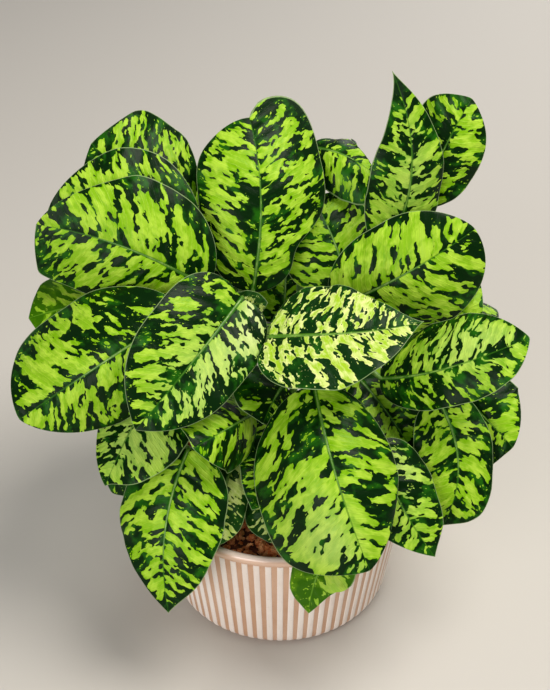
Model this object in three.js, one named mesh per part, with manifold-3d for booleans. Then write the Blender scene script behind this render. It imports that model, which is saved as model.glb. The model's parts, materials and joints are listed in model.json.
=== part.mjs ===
// A potted house plant, Adelonema wallisii: a round striped pot, the soil in it and
// 40 leaves, each on a stalk of its own that stands in a hole in the soil.
// Sizes are in millimetres. The origin is the middle of the pot's flat bottom,
// +Z is up and -Y is the side that faces the viewer.
import * as THREE from 'three';
import Module from 'manifold-3d';

const POT_HEIGHT = 96;
const RIM_RADIUS = 90;
const FOOT_RADIUS = 79;
const FOOT_ROUND = 12;
const WALL = 5;
const FLOOR = 6;
const LIP = 3;
const POT_SIDES = 64;

const SOIL_LEVEL = 86;
const SOIL_RELIEF = 1.3;
const SOIL_RINGS = 7;
const SOIL_SIDES = 36;
const SOIL_GAP = 0.3;

const BLADE_THICKNESS = 1;
const BLADE_ROWS = 9;
const BLADE_STRIPS = 4;
const MARGIN_WAVE = 1.5;
const MARGIN_WAVES = 3;

const STALK_RADIUS = 2.5;
const NECK_RADIUS = 1.7;
const STALK_SIDES = 6;
const STALK_STEPS = 6;
const STALK_FOOT_LEVEL = 78;
const HOLE_GAP = 0.4;

// How far the stalk runs on under the midrib, as shares of its length, and how thick it is.
const RIB = [[0.12, 1.1]];

// How each kind of blade widens and closes: the widest place as a share of the length,
// how full the tip half is, how round its end is, and how round the base is.
const OUTLINES = {
  broad: { widest: 0.54, full: 3.6, end: 0.75, base: 0.57, point: 0.3 },
  heart: { widest: 0.36, full: 3.0, end: 0.8, base: 0.4, point: 0.3 },
  oval: { widest: 0.46, full: 3.2, end: 0.95, base: 0.46, point: 0.3 },
  lance: { widest: 0.4, full: 2.0, end: 0.95, base: 0.45, point: 0.3 },
  spear: { widest: 0.42, full: 1.7, end: 1.1, base: 0.45, point: 0.5 },
  round: { widest: 0.5, full: 2.7, end: 0.6, base: 0.5, point: 0 },
  blunt: { widest: 0.66, full: 2.8, end: 0.7, base: 0.62, point: 0 },
};

// What a leaf has unless its own entry says otherwise. rise and fall lift the midrib's two
// ends off the straight line, sway bends it sideways, and skew, uneven and lean make one
// half wider, fuller or further forward. lobes draw the base of each half back past the
// stalk, waist narrows one half near the base, and shoulder moves the end of that half
// forward and outward. fold and cup shape the cross section.
const USUAL = {
  rise: 0.12, fall: 0.12, sway: 0, skew: 0, uneven: 0, lean: 0, lobes: [5, 5], waist: 0, fold: 0.1,
  cup: 0.4, shoulder: [0, 0],
};

// One entry for each leaf: where its blade starts and ends, its width and the way it faces,
// then its stalk's foot in the soil and the two places that the stalk bends toward.
const LEAVES = {
  leaf_front_left: {
    outline: 'heart', start: [-24, -8, 244], tip: [-87, -78, 196], width: 70, face: [0.28, -0.73, 0.63],
    skew: -0.1, fold: 0.25, cup: 0.2, foot: [-7, 0], bend: [-21, -14, 136], neck: [-12, 19, 193],
  },
  leaf_middle_cream: {
    outline: 'spear', start: [-7, -30, 230], tip: [86, -38, 247], width: 72, face: [-0.2, -0.41, 0.89],
    skew: -0.04, sway: -0.1, rise: 0.15, fall: 0.06, lobes: [6, 12], fold: 0.2, cup: 0.2,
    foot: [25, -6], bend: [15, -13, 133], neck: [32, 0, 115],
  },
  leaf_front: {
    outline: 'broad', start: [21, -43, 202], tip: [54, -122, 122], width: 89, face: [-0.04, -0.72, 0.69],
    skew: -0.15, lean: -13, sway: -0.04, rise: 0.18, fall: 0.17, cup: 0.7,
    foot: [7, 2], bend: [22, -30, 171], neck: [9, -9, 133],
  },
  leaf_right: {
    outline: 'broad', start: [65, -12, 184], tip: [150, -42, 238], width: 58, face: [-0.58, -0.54, 0.61],
    skew: 0.2, sway: -0.11, rise: 0.15, fall: 0.17,
    foot: [18, 4], bend: [25, 15, 147], neck: [37, 10, 203],
  },
  leaf_left: {
    outline: 'broad', start: [-60, -22, 243], tip: [-163, -50, 181], width: 81, face: [-0.09, -0.84, 0.53],
    skew: -0.1, lean: -12, rise: 0.2, fall: 0.09, cup: 0.7,
    foot: [-17, -5], bend: [-35, -16, 153], neck: [-52, -17, 218],
  },
  leaf_right_upper: {
    outline: 'round', start: [35, 20, 218], tip: [123, 27, 273], width: 78, face: [-0.18, -0.91, 0.36],
    skew: -0.1, uneven: -0.15, sway: -0.03, foot: [10, 8], bend: [22, 14, 148], neck: [15, 21, 125],
  },
  leaf_front_right_low: {
    outline: 'lance', start: [59, -57, 168], tip: [97, -98, 109], width: 54, face: [0.13, -0.77, 0.62],
    lean: 10, sway: -0.08, foot: [23, -21], bend: [40, -37, 140], neck: [45, -42, 147],
  },
  leaf_inner_small: {
    outline: 'heart', start: [2, -20, 185], tip: [-11, -51, 178], width: 53, face: [0.52, -0.34, 0.79],
    lean: -6, sway: -0.07, foot: [0, 2], bend: [0, -3, 172], neck: [-4, 2, 144],
  },
  leaf_inner_left: {
    outline: 'broad', start: [-17, -33, 172], tip: [-53, -80, 183], width: 50, face: [0.64, -0.33, 0.7],
    lean: -8, fold: 0, cup: 0.7, foot: [-6, -8], bend: [-4, -18, 125], neck: [-51, -19, 134],
  },
  leaf_left_low: {
    outline: 'lance', start: [-76, -21, 190], tip: [-110, -71, 144], width: 71, face: [-0.36, -0.49, 0.8],
    uneven: -0.2, lean: 12, sway: 0.03, foot: [-22, 0], bend: [-50, -12, 155], neck: [-55, -10, 150],
  },
  leaf_front_left_low: {
    outline: 'lance', start: [-58, -55, 161], tip: [-71, -112, 73], width: 70, face: [-0.25, -0.8, 0.55],
    lean: 10, sway: -0.07, rise: 0.14, lobes: [5, -14],
    foot: [-29, -8], bend: [-44, -27, 144], neck: [-53, -49, 150],
  },
  leaf_left_upper: {
    outline: 'round', start: [-47, 8, 242], tip: [-152, 19, 281], width: 83, face: [0.04, -0.95, 0.32],
    skew: -0.05, uneven: 0.3, lean: 19, sway: -0.09, fall: 0.07,
    foot: [-14, 1], bend: [-24, 4, 122], neck: [-39, 6, 201],
  },
  leaf_tall_middle: {
    outline: 'blunt', start: [-18, 22, 229], tip: [-20, 83, 323], width: 84, face: [0.17, -0.83, 0.54],
    skew: -0.07, uneven: 0.2, sway: -0.05, rise: 0.16, fall: 0.2, lobes: [7, 7], waist: 0.33,
    shoulder: [28, 14],
    foot: [-3, 12], bend: [-7, 16, 122], neck: [-14, 19, 194],
  },
  leaf_right_low: {
    outline: 'oval', start: [101, -25, 178], tip: [105, -72, 111], width: 51, face: [0.15, -0.81, 0.57],
    skew: -0.05, lean: 12, sway: 0.15, fall: 0.16, cup: 0.2,
    foot: [24, 1], bend: [39, 1, 126], neck: [112, 29, 148],
  },
  leaf_inner_narrow: {
    outline: 'heart', start: [-5, -9, 155], tip: [-18, -75, 127], width: 37, face: [0.32, -0.42, 0.85],
    sway: 0.05, foot: [-7, 7], bend: [-6, -4, 134], neck: [-8, 2, 118],
  },
  leaf_left_second: {
    outline: 'round', start: [-51, 30, 263], tip: [-147, 34, 282], width: 96, face: [0.03, -0.95, 0.32],
    skew: -0.1, sway: 0.06, foot: [-22, 10], bend: [-35, 25, 150], neck: [-38, -8, 180],
  },
  leaf_right_spear: {
    outline: 'spear', start: [71, 47, 246], tip: [69, 71, 360], width: 49, face: [0.22, -0.97, 0.11],
    skew: 0.1, uneven: -0.1, sway: -0.12, fall: 0.16, fold: 0.3,
    foot: [18, 20], bend: [-2, 20, 159], neck: [64, 35, 188],
  },
  leaf_curled: {
    outline: 'oval', start: [22, 100, 293], tip: [63, 78, 284], width: 43, face: [-0.03, -0.43, 0.9],
    skew: -0.05, uneven: -0.2, lean: -21, sway: 0.03, rise: 0.16, fall: 0.14, cup: 0.7,
    foot: [4, 23], bend: [13, 53, 158], neck: [14, 86, 247],
  },
  leaf_right_edge: {
    outline: 'broad', start: [116, -2, 170], tip: [152, -35, 145], width: 55, face: [-0.25, -0.73, 0.63],
    skew: 0.05, lean: -11, foot: [39, 0], bend: [55, 0, 123], neck: [103, 0, 152],
  },
  leaf_right_shaded: {
    outline: 'broad', start: [48, 6, 176], tip: [93, -47, 134], width: 58, face: [0.21, -0.49, 0.85],
    foot: [13, -2], bend: [38, 2, 150], neck: [39, 10, 157],
  },
  leaf_inner_pale: {
    outline: 'broad', start: [-28, -40, 143], tip: [-41, -87, 107], width: 34, face: [-0.03, -0.6, 0.8],
    skew: -0.05, sway: -0.05, foot: [-12, -11], bend: [-21, -28, 129], neck: [-22, -28, 114],
  },
  leaf_front_hanging: {
    outline: 'lance', start: [41, -100, 134], tip: [18, -116, 77], width: 43, face: [-0.54, -0.72, 0.42],
    lean: -12, sway: -0.07, fold: 0.25, foot: [18, -27], bend: [19, -41, 119], neck: [50, -79, 123],
  },
  leaf_left_top: {
    outline: 'broad', start: [-58, 54, 273], tip: [-121, 68, 312], width: 86, face: [0.13, -0.83, 0.55],
    uneven: -0.2, lean: -10, sway: 0.08, rise: 0.14,
    foot: [-14, 9], bend: [-26, 19, 122], neck: [-48, 47, 236],
  },
  leaf_right_top: {
    outline: 'broad', start: [92, 62, 271], tip: [123, 88, 334], width: 52, face: [-0.07, -0.91, 0.41],
    lean: 5, sway: 0.04, foot: [24, 16], bend: [40, 27, 134], neck: [82, 51, 243],
  },
  leaf_middle_shaded: {
    outline: 'lance', start: [46, 42, 223], tip: [22, 81, 268], width: 70, face: [0.08, -0.72, 0.68],
    lean: -16, foot: [17, 11], bend: [29, 22, 132], neck: [39, 44, 188],
  },
  leaf_right_under: {
    outline: 'lance', start: [98, 34, 222], tip: [131, 10, 211], width: 52, face: [-0.25, -0.66, 0.71],
    foot: [23, 8], bend: [54, 15, 160], neck: [68, 30, 183],
  },
  leaf_soil_small: {
    outline: 'broad', start: [-9, -40, 129], tip: [-6, -83, 106], width: 35, face: [-0.03, -0.47, 0.88],
    sway: 0.05, foot: [-7, -19], bend: [-9, -39, 130], neck: [-9, -34, 114],
  },
  leaf_left_behind: {
    outline: 'oval', start: [-111, 23, 218], tip: [-163, 10, 216], width: 64, face: [0.07, -0.43, 0.9],
    foot: [-31, 7], bend: [-60, 12, 154], neck: [-87, 19, 176],
  },
  leaf_left_lowest: {
    outline: 'heart', start: [-83, -34, 161], tip: [-111, -45, 114], width: 43, face: [-0.47, -0.76, 0.46],
    foot: [-20, -32], bend: [-36, -35, 120], neck: [-67, -27, 148],
  },
  leaf_back_right_outer: {
    outline: 'oval', start: [78, 52, 190], tip: [156, 92, 168], width: 70, face: [0.16, 0.21, 0.96],
    foot: [32, 9], bend: [44, 24, 130], neck: [72, 48, 172],
  },
  leaf_back_right: {
    outline: 'broad', start: [48, 74, 215], tip: [92, 150, 205], width: 76, face: [0.05, 0.1, 0.99],
    foot: [14, 25], bend: [26, 36, 119], neck: [39, 60, 187],
  },
  leaf_back_middle: {
    outline: 'broad', start: [3, 76, 166], tip: [6, 150, 204], width: 80, face: [0, -0.47, 0.88],
    foot: [-3, 22], bend: [0, 38, 120], neck: [2, 58, 128],
  },
  leaf_back_left: {
    outline: 'oval', start: [-38, 69, 208], tip: [-71, 154, 202], width: 79, face: [-0.05, 0.07, 1],
    foot: [3, 16], bend: [-5, 33, 134], neck: [-28, 58, 166],
  },
  leaf_back_left_outer: {
    outline: 'broad', start: [-82, 58, 190], tip: [-152, 98, 165], width: 72, face: [-0.21, 0.23, 0.95],
    foot: [-12, 25], bend: [-32, 37, 141], neck: [-76, 58, 176],
  },
  leaf_back_right_low: {
    outline: 'oval', start: [34, 60, 150], tip: [64, 124, 110], width: 60, face: [0.23, 0.44, 0.87],
    foot: [3, 9], bend: [5, 27, 126], neck: [25, 47, 130],
  },
  leaf_back_left_low: {
    outline: 'lance', start: [-28, 64, 150], tip: [-52, 128, 106], width: 62, face: [-0.17, 0.51, 0.84],
    foot: [-9, 18], bend: [-18, 35, 128], neck: [-15, 33, 102],
  },
  leaf_back_left_upper: {
    outline: 'broad', start: [-30, 72, 258], tip: [-80, 132, 256], width: 70, face: [0.01, 0.04, 1],
    foot: [-17, 15], bend: [-32, 35, 147], neck: [-23, 66, 220],
  },
  leaf_back_right_upper: {
    outline: 'oval', start: [60, 88, 246], tip: [108, 146, 256], width: 66, face: [-0.12, -0.07, 0.99],
    foot: [28, -14], bend: [38, 6, 142], neck: [50, 67, 216],
  },
  leaf_back_middle_low: {
    outline: 'broad', start: [-14, 80, 150], tip: [-10, 146, 118], width: 72, face: [0, 0.44, 0.9],
    foot: [27, 28], bend: [20, 48, 134], neck: [12, 74, 146],
  },
  leaf_new_small: {
    outline: 'heart', start: [-34, 13, 222], tip: [-8, 9, 229], width: 20, face: [-0.28, -0.7, 0.65],
    foot: [3, -19], bend: [-4, -15, 112], neck: [-27, -5, 166],
  },
};

const wasm = await Module();
wasm.setup();

const vector = (values) => new THREE.Vector3(...values);

const onCircle = (radius, turn, z) => vector([
  radius * Math.cos(2 * Math.PI * turn), radius * Math.sin(2 * Math.PI * turn), z,
]);

// Joins rings of points into one closed solid. The first and last entries are single points.
// From the place turnedFrom on, the squares between two rings are split the other way.
function loft(rings, turnedFrom = Infinity) {
  const points = rings.flat();
  const starts = rings.map((ring, index) => rings.slice(0, index).flat().length);
  const faces = [];
  for (let row = 0; row + 1 < rings.length; row += 1) {
    const [lower, upper] = [rings[row], rings[row + 1]];
    const count = Math.max(lower.length, upper.length);
    for (let place = 0; place < count; place += 1) {
      const next = (place + 1) % count;
      const a = starts[row] + (lower.length > 1 ? place : 0);
      const b = starts[row] + (lower.length > 1 ? next : 0);
      const c = starts[row + 1] + (upper.length > 1 ? next : 0);
      const d = starts[row + 1] + (upper.length > 1 ? place : 0);
      const halves = place < turnedFrom ? [[a, b, c], [a, c, d]] : [[a, b, d], [b, c, d]];
      faces.push(...halves.filter((face) => new Set(face).size === 3));
    }
  }
  return new wasm.Manifold(new wasm.Mesh({
    numProp: 3,
    vertProperties: new Float32Array(points.flatMap((point) => point.toArray())),
    triVerts: new Uint32Array(faces.flat()),
  }));
}

// Turns a profile of [radius, height] pairs, which starts and ends on the axis, about +Z.
function revolve(profile, sides, heightAt = (x, y, z) => z) {
  return loft(profile.map(([radius, z]) => {
    if (radius === 0) return [vector([0, 0, heightAt(0, 0, z)])];
    return Array.from({ length: sides }, (_, index) => {
      const point = onCircle(radius, index / sides, z);
      point.z = heightAt(point.x, point.y, z);
      return point;
    });
  }));
}

function arc(centre, radius, from, to, steps) {
  return Array.from({ length: steps + 1 }, (_, index) => {
    const angle = (from + (to - from) * index / steps) * Math.PI / 180;
    return [centre[0] + radius * Math.cos(angle), centre[1] + radius * Math.sin(angle)];
  });
}

function potProfile() {
  const insideRound = FOOT_ROUND - WALL;
  const lipMiddle = RIM_RADIUS - LIP;
  return [
    [0, 0],
    ...arc([FOOT_RADIUS - FOOT_ROUND, FOOT_ROUND], FOOT_ROUND, -90, 0, 3),
    ...arc([lipMiddle, POT_HEIGHT - LIP], LIP, -20, 200, 6),
    [FOOT_RADIUS - WALL, FLOOR + insideRound],
    ...arc([FOOT_RADIUS - FOOT_ROUND, FLOOR + insideRound], insideRound, 0, -90, 2).slice(1),
    [0, FLOOR],
  ];
}

// The radius of the soil's side at a height, just inside the pot's sloping wall.
function soilRadius(z) {
  const low = [FOOT_RADIUS - WALL, FLOOR + FOOT_ROUND - WALL];
  const high = [RIM_RADIUS - 2 * LIP, POT_HEIGHT - LIP - LIP];
  const share = (z - low[1]) / (high[1] - low[1]);
  return low[0] + (high[0] - low[0]) * share - SOIL_GAP - 0.4;
}

// Crumbs on top of the soil, as a height above its level.
function crumbs(x, y) {
  const coarse = Math.sin(0.52 * x + 1.1) * Math.sin(0.47 * y + 0.3);
  const fine = Math.sin(1.31 * x - 0.83 * y) * Math.cos(0.71 * x + 1.19 * y);
  return SOIL_RELIEF * (0.6 * coarse + 0.5 * fine);
}

function soilBody() {
  const round = FOOT_ROUND - WALL;
  const sideFoot = FLOOR + round;
  const edge = soilRadius(SOIL_LEVEL);
  const rings = Array.from({ length: SOIL_RINGS }, (_, index) => [edge * (1 - index / SOIL_RINGS), SOIL_LEVEL]);
  const profile = [
    [0, FLOOR + SOIL_GAP],
    [FOOT_RADIUS - FOOT_ROUND - 1, FLOOR + SOIL_GAP],
    [soilRadius(sideFoot) - round * 0.4, FLOOR + round * 0.4],
    [soilRadius(sideFoot), sideFoot],
    ...rings,
    [0, SOIL_LEVEL],
  ];
  return revolve(profile, SOIL_SIDES, (x, y, z) => (z === SOIL_LEVEL ? z + crumbs(x, y) : z));
}

// The midrib's curve, the way that the blade faces and half its width.
function spine(leaf) {
  const start = vector(leaf.start);
  const tip = vector(leaf.tip);
  const length = start.distanceTo(tip);
  const along = tip.clone().sub(start).normalize();
  const face = vector(leaf.face);
  face.addScaledVector(along, -face.dot(along)).normalize();
  const across = face.clone().cross(along);
  const lifted = (point, forward, lift) => point.clone()
    .addScaledVector(along, 0.35 * length * forward)
    .addScaledVector(face, lift * length)
    .addScaledVector(across, leaf.sway * length);
  const curve = new THREE.CubicBezierCurve3(start, lifted(start, 1, leaf.rise), lifted(tip, -1, leaf.fall), tip);
  return { curve, face, half: leaf.width / 2 };
}

// The midrib's point at a share of its length, with the directions along, across and out.
function station({ curve, face }, share) {
  const along = curve.getTangent(share);
  const across = face.clone().cross(along).normalize();
  return { point: curve.getPoint(share), along, across, out: along.clone().cross(across) };
}

// The blade's half width at a share of its length, where 1 is its widest.
function widthAt({ widest, full, end, base, point }, share) {
  if (share < widest) return (1 - ((widest - share) / widest) ** 3) ** base;
  const past = (share - widest) / (1 - widest);
  return (1 - past ** full) ** end * (1 - point * past ** 8);
}

const bell = (share, middle, spread) => Math.exp(-(((share - middle) / spread) ** 2));

// A point on the blade's middle surface: side runs from -1 at one margin to 1 at the other.
function bladePoint(leaf, frame, half, share, side) {
  const width = widthAt(OUTLINES[leaf.outline], share);
  const sign = Math.sign(side);
  const shoulder = side < 0 ? bell(share, 0.97, 0.12) * width ** 0.35 * Math.abs(side) ** 3 : 0;
  const pinch = side < 0 ? 1 - leaf.waist * bell(share, 0.25, 0.13) : 1;
  const spread = side * width ** (1 - leaf.uneven * sign) * half * (1 + leaf.skew * sign) * pinch;
  const away = spread - shoulder * leaf.shoulder[1];
  const wave = Math.sin(2 * Math.PI * (MARGIN_WAVES * share + leaf.phase + (side > 0 ? 0.37 : 0)));
  const height = leaf.fold * Math.abs(away) - leaf.cup * away ** 2 / half
    + MARGIN_WAVE * side ** 2 * wave * width;
  const forward = leaf.lean * side * Math.abs(side) * width * bell(share, 0.82, 0.2)
    + shoulder * leaf.shoulder[0]
    - leaf.lobes[side < 0 ? 1 : 0] * side ** 2 * width * Math.exp(-share / 0.14);
  return frame.point.clone()
    .addScaledVector(frame.across, away)
    .addScaledVector(frame.out, height)
    .addScaledVector(frame.along, forward);
}

function blade(leaf) {
  const bones = spine(leaf);
  const rings = [[vector(leaf.start)]];
  for (let row = 1; row < BLADE_ROWS; row += 1) {
    const even = row / BLADE_ROWS;
    const share = 0.4 * (1 - Math.cos(Math.PI * even)) + 0.2 * even;
    const frame = station(bones, share);
    const middle = Array.from({ length: BLADE_STRIPS + 1 }, (_, index) => (
      bladePoint(leaf, frame, bones.half, share, 1 - 2 * index / BLADE_STRIPS)
    ));
    const shifted = (amount) => middle.map((point) => point.clone().addScaledVector(frame.out, amount));
    rings.push([...shifted(BLADE_THICKNESS / 2), ...shifted(-BLADE_THICKNESS / 2).reverse()]);
  }
  rings.push([vector(leaf.tip)]);
  return loft(rings, BLADE_STRIPS);
}

// A round rod along a row of [point, radius] pairs, closed at both ends.
function rod(path) {
  let side = new THREE.Vector3(1, 0, 0);
  const rings = path.map(([point, radius], index) => {
    const before = path[Math.max(index - 1, 0)][0];
    const after = path[Math.min(index + 1, path.length - 1)][0];
    const along = after.clone().sub(before).normalize();
    side = side.clone().addScaledVector(along, -side.dot(along)).normalize();
    const other = along.clone().cross(side);
    return Array.from({ length: STALK_SIDES }, (_, place) => {
      const spoke = onCircle(radius, place / STALK_SIDES, 0);
      return point.clone().addScaledVector(side, spoke.x).addScaledVector(other, spoke.y);
    });
  });
  return loft([[path[0][0]], ...rings, [path.at(-1)[0]]]);
}

function stalkPath(leaf) {
  const foot = vector([...leaf.foot, STALK_FOOT_LEVEL]);
  const curve = new THREE.CubicBezierCurve3(foot, vector(leaf.bend), vector(leaf.neck), vector(leaf.start));
  return Array.from({ length: STALK_STEPS + 1 }, (_, step) => {
    const share = step / STALK_STEPS;
    return [curve.getPoint(share), STALK_RADIUS + (NECK_RADIUS - STALK_RADIUS) * share];
  });
}

function ribPath(leaf) {
  const bones = spine(leaf);
  return RIB.map(([share, radius]) => {
    const frame = station(bones, share);
    return [frame.point.addScaledVector(frame.out, -0.5 * radius), radius];
  });
}

// The foot of the stalk, grown by the gap and drawn on below it, as the hole that it stands in.
function stalkHole(leaf) {
  const path = stalkPath(leaf).slice(0, 2).map(([point, radius]) => [point, radius + HOLE_GAP]);
  const [[foot, radius], [second]] = path;
  const below = foot.clone().addScaledVector(second.clone().sub(foot).normalize(), -HOLE_GAP);
  return rod([[below, radius], ...path.slice(1)]);
}

function mesh(name, solid, colour, roughness) {
  const { vertProperties, triVerts, numProp } = solid.getMesh();
  const geometry = new THREE.BufferGeometry();
  const positions = new THREE.InterleavedBuffer(vertProperties, numProp);
  geometry.setAttribute('position', new THREE.InterleavedBufferAttribute(positions, 3, 0));
  geometry.setIndex(Array.from(triVerts));
  const material = new THREE.MeshStandardMaterial({ color: colour, roughness, metalness: 0 });
  const result = new THREE.Mesh(geometry, material);
  result.name = name;
  return result;
}

const leaves = Object.entries(LEAVES).map(([name, own], index) => (
  [name, { ...USUAL, ...own, phase: 0.29 * index }]
));

const plant = new THREE.Group();
plant.name = 'potted_adelonema_wallisii';
plant.add(mesh('pot', revolve(potProfile(), POT_SIDES), '#c8a084', 0.4));

const holes = leaves.map(([, leaf]) => stalkHole(leaf));
const soil = holes.reduce((body, hole) => body.subtract(hole), soilBody());
plant.add(mesh('soil', soil, '#6b3824', 0.95));

leaves.forEach(([name, leaf]) => {
  const solid = blade(leaf).add(rod([...stalkPath(leaf), ...ribPath(leaf)]));
  plant.add(mesh(name, solid, name.endsWith('cream') ? '#b9c765' : '#4d8a22', 0.35));
});

export default plant;
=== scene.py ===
# Potted Adelonema wallisii: the looks of the plant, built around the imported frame.
import json
import math

import bpy
import numpy as np
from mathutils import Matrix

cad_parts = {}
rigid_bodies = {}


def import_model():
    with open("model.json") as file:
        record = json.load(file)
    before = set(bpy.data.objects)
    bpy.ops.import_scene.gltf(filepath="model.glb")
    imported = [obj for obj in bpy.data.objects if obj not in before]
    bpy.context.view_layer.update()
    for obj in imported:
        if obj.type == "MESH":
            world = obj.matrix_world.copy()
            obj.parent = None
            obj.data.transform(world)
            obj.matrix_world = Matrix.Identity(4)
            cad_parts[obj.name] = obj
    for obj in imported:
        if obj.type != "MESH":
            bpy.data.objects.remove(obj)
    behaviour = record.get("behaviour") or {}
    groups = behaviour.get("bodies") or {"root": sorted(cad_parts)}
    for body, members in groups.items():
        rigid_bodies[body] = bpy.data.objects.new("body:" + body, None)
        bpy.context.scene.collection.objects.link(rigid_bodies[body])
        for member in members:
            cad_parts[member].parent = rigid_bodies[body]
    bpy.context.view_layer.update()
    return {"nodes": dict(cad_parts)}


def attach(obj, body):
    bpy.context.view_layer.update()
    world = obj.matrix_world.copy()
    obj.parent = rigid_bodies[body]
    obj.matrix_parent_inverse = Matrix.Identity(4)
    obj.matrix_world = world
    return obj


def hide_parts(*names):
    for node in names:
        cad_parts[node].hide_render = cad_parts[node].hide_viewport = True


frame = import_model()

mm = 0.001
wholeTurn = 2 * math.pi


# colours and node helpers

def paint(code):
    # a hex colour as the linear values that sockets take
    parts = [int(code[place:place + 2], 16) / 255 for place in (1, 3, 5)]
    linear = [part / 12.92 if part <= 0.04045 else ((part + 0.055) / 1.055) ** 2.4 for part in parts]
    return (*linear, 1.0)


class Wire:
    # one socket of a node tree, so that maths on it reads as plain expressions

    def __init__(self, graph, socket):
        self.graph = graph
        self.socket = socket

    def maths(self, operation, *values):
        made = self.graph.node("ShaderNodeMath", {"operation": operation}, dict(enumerate(values)))
        return Wire(self.graph, made.outputs[0])

    def __add__(self, other):
        return self.maths("ADD", self, other)

    def __sub__(self, other):
        return self.maths("SUBTRACT", self, other)

    def __rsub__(self, other):
        return self.maths("SUBTRACT", other, self)

    def __mul__(self, other):
        return self.maths("MULTIPLY", self, other)

    def __truediv__(self, other):
        return self.maths("DIVIDE", self, other)

    def __rtruediv__(self, other):
        return self.maths("DIVIDE", other, self)

    def __abs__(self):
        return self.maths("ABSOLUTE", self)

    __radd__ = __add__
    __rmul__ = __mul__

    def root(self):
        return self.maths("SQRT", self)

    def fraction(self):
        return self.maths("FRACT", self)

    def atLeast(self, other):
        return self.maths("MAXIMUM", self, other)

    def atMost(self, other):
        return self.maths("MINIMUM", self, other)


class Graph:
    # a node tree of a material or of a Geometry Nodes modifier

    def __init__(self, tree):
        self.tree = tree

    def node(self, kind, settings=None, sockets=None):
        made = self.tree.nodes.new(kind)
        for key, value in (settings or {}).items():
            setattr(made, key, value)
        for key, value in (sockets or {}).items():
            if isinstance(value, bpy.types.Node):
                value = self.wire(value)
            if isinstance(value, Wire):
                self.tree.links.new(value.socket, made.inputs[key])
            else:
                made.inputs[key].default_value = value
        return made

    def wire(self, node, output=0):
        return Wire(self, node.outputs[output])

    def attribute(self, name):
        return self.wire(self.node("ShaderNodeAttribute", {"attribute_name": name}), "Fac")

    def spot(self):
        # the place on the piece in its own coordinates
        return self.wire(self.node("ShaderNodeTexCoord"), "Object")

    def vector(self, x, y, z):
        return self.wire(self.node("ShaderNodeCombineXYZ", sockets={0: x, 1: y, 2: z}))

    def noise(self, place, scale=1.0, detail=2.0, roughness=0.5, distortion=0.0):
        sockets = {"Vector": place, "Scale": scale, "Detail": detail, "Roughness": roughness,
                   "Distortion": distortion}
        return self.wire(self.node("ShaderNodeTexNoise", sockets=sockets), "Fac")

    def ease(self, value, low, high):
        # 0 below low and 1 above high, with a soft step between them
        sockets = {"Value": value, "From Min": low, "From Max": high}
        return self.wire(self.node("ShaderNodeMapRange", {"interpolation_type": "SMOOTHSTEP"}, sockets))

    def mix(self, share, first, second):
        sockets = {0: share, 6: first, 7: second}
        return self.wire(self.node("ShaderNodeMix", {"data_type": "RGBA"}, sockets), 2)

    def between(self, share, codes):
        # a colour between two, both given as hex codes
        return self.mix(share, *(paint(code) for code in codes))

    def bump(self, height, strength, depth):
        sockets = {"Height": height, "Strength": strength, "Distance": depth}
        return self.wire(self.node("ShaderNodeBump", sockets=sockets))


def material(name, describe):
    # describe gets the empty graph and returns the sockets of the surface shader
    made = bpy.data.materials.new(name)
    made.use_nodes = True
    made.node_tree.nodes.clear()
    graph = Graph(made.node_tree)
    surface = graph.node("ShaderNodeBsdfPrincipled", sockets=describe(graph))
    graph.node("ShaderNodeOutputMaterial", sockets={"Surface": surface})
    return made


# meshes

def linked(name, data):
    piece = bpy.data.objects.new(name, data)
    bpy.context.scene.collection.objects.link(piece)
    return piece


def meshPiece(name, points, faces, materials, faceMaterials=None, smooth=True):
    mesh = bpy.data.meshes.new(name)
    mesh.from_pydata([tuple(point) for point in points], [], [tuple(face) for face in faces])
    for each in materials:
        mesh.materials.append(each)
    if faceMaterials is not None:
        mesh.polygons.foreach_set("material_index", np.array(faceMaterials, np.int32))
    mesh.polygons.foreach_set("use_smooth", np.full(len(faces), smooth))
    mesh.update()
    return linked(name, mesh)


def giveAttribute(piece, name, values):
    layer = piece.data.attributes.new(name, "FLOAT", "POINT")
    layer.data.foreach_set("value", np.asarray(values, np.float32))


def dress(piece, slotName, *nodes):
    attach(piece, "root")
    if nodes:
        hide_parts(*nodes)
    return piece


# the leaves: the same places, in millimetres, that the solids were made from

leafShape = {
    "rowStep": 1.7,              # millimetres of midrib between rows
    "midribLines": (0, 0.03, 0.06, 0.1),     # where the columns lie, as shares of the half width
    "outerLines": (0.15, 0.985, 13),     # from, to and how many
    "thickness": 0.5,
    "marginShare": 0.4,          # how much of the thickness the margin keeps
    "leastWidth": 0.004,         # at base and tip, as a share of the full width
    "bendReach": 0.35,           # how far from its ends the midrib's curve has its controls
    "shoulder": (0.97, 0.12),    # where it lies along the leaf, and its reach
    "waist": (0.25, 0.13),
    "lean": (0.82, 0.2),
    "lobeReach": 0.14,
    "marginWave": 1.5,
    "marginWaves": 3,
    "waveShift": 0.37,           # of the second half, in waves
    "ruffle": 0.35,              # a finer wave along the margin
    "ruffles": 8.3,
    "ruffleShift": 0.6,
    "veinSpacing": 8.5,
    "veinSlope": (0.3, 0.25),    # at the base, and how much it grows towards the tip
    "veinCurve": 0.0035,
    "veinRelief": 0.42,
    "grooveDepth": 0.55,
    "grooveReach": 0.04,
    "ridgeShare": 0.4,           # how much of the groove stands out below
    "stalkRadius": 2.5,
    "neckRadius": 1.7,
    "stalkSides": 10,
    "stalkSteps": 22,
    "footLevel": 78,
    "ribRun": (0.02, 0.9, 20),   # from, to and how many, as shares of the midrib
    "ribTipRadius": 0.25,
    "phaseStep": 0.29,
}

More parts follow.
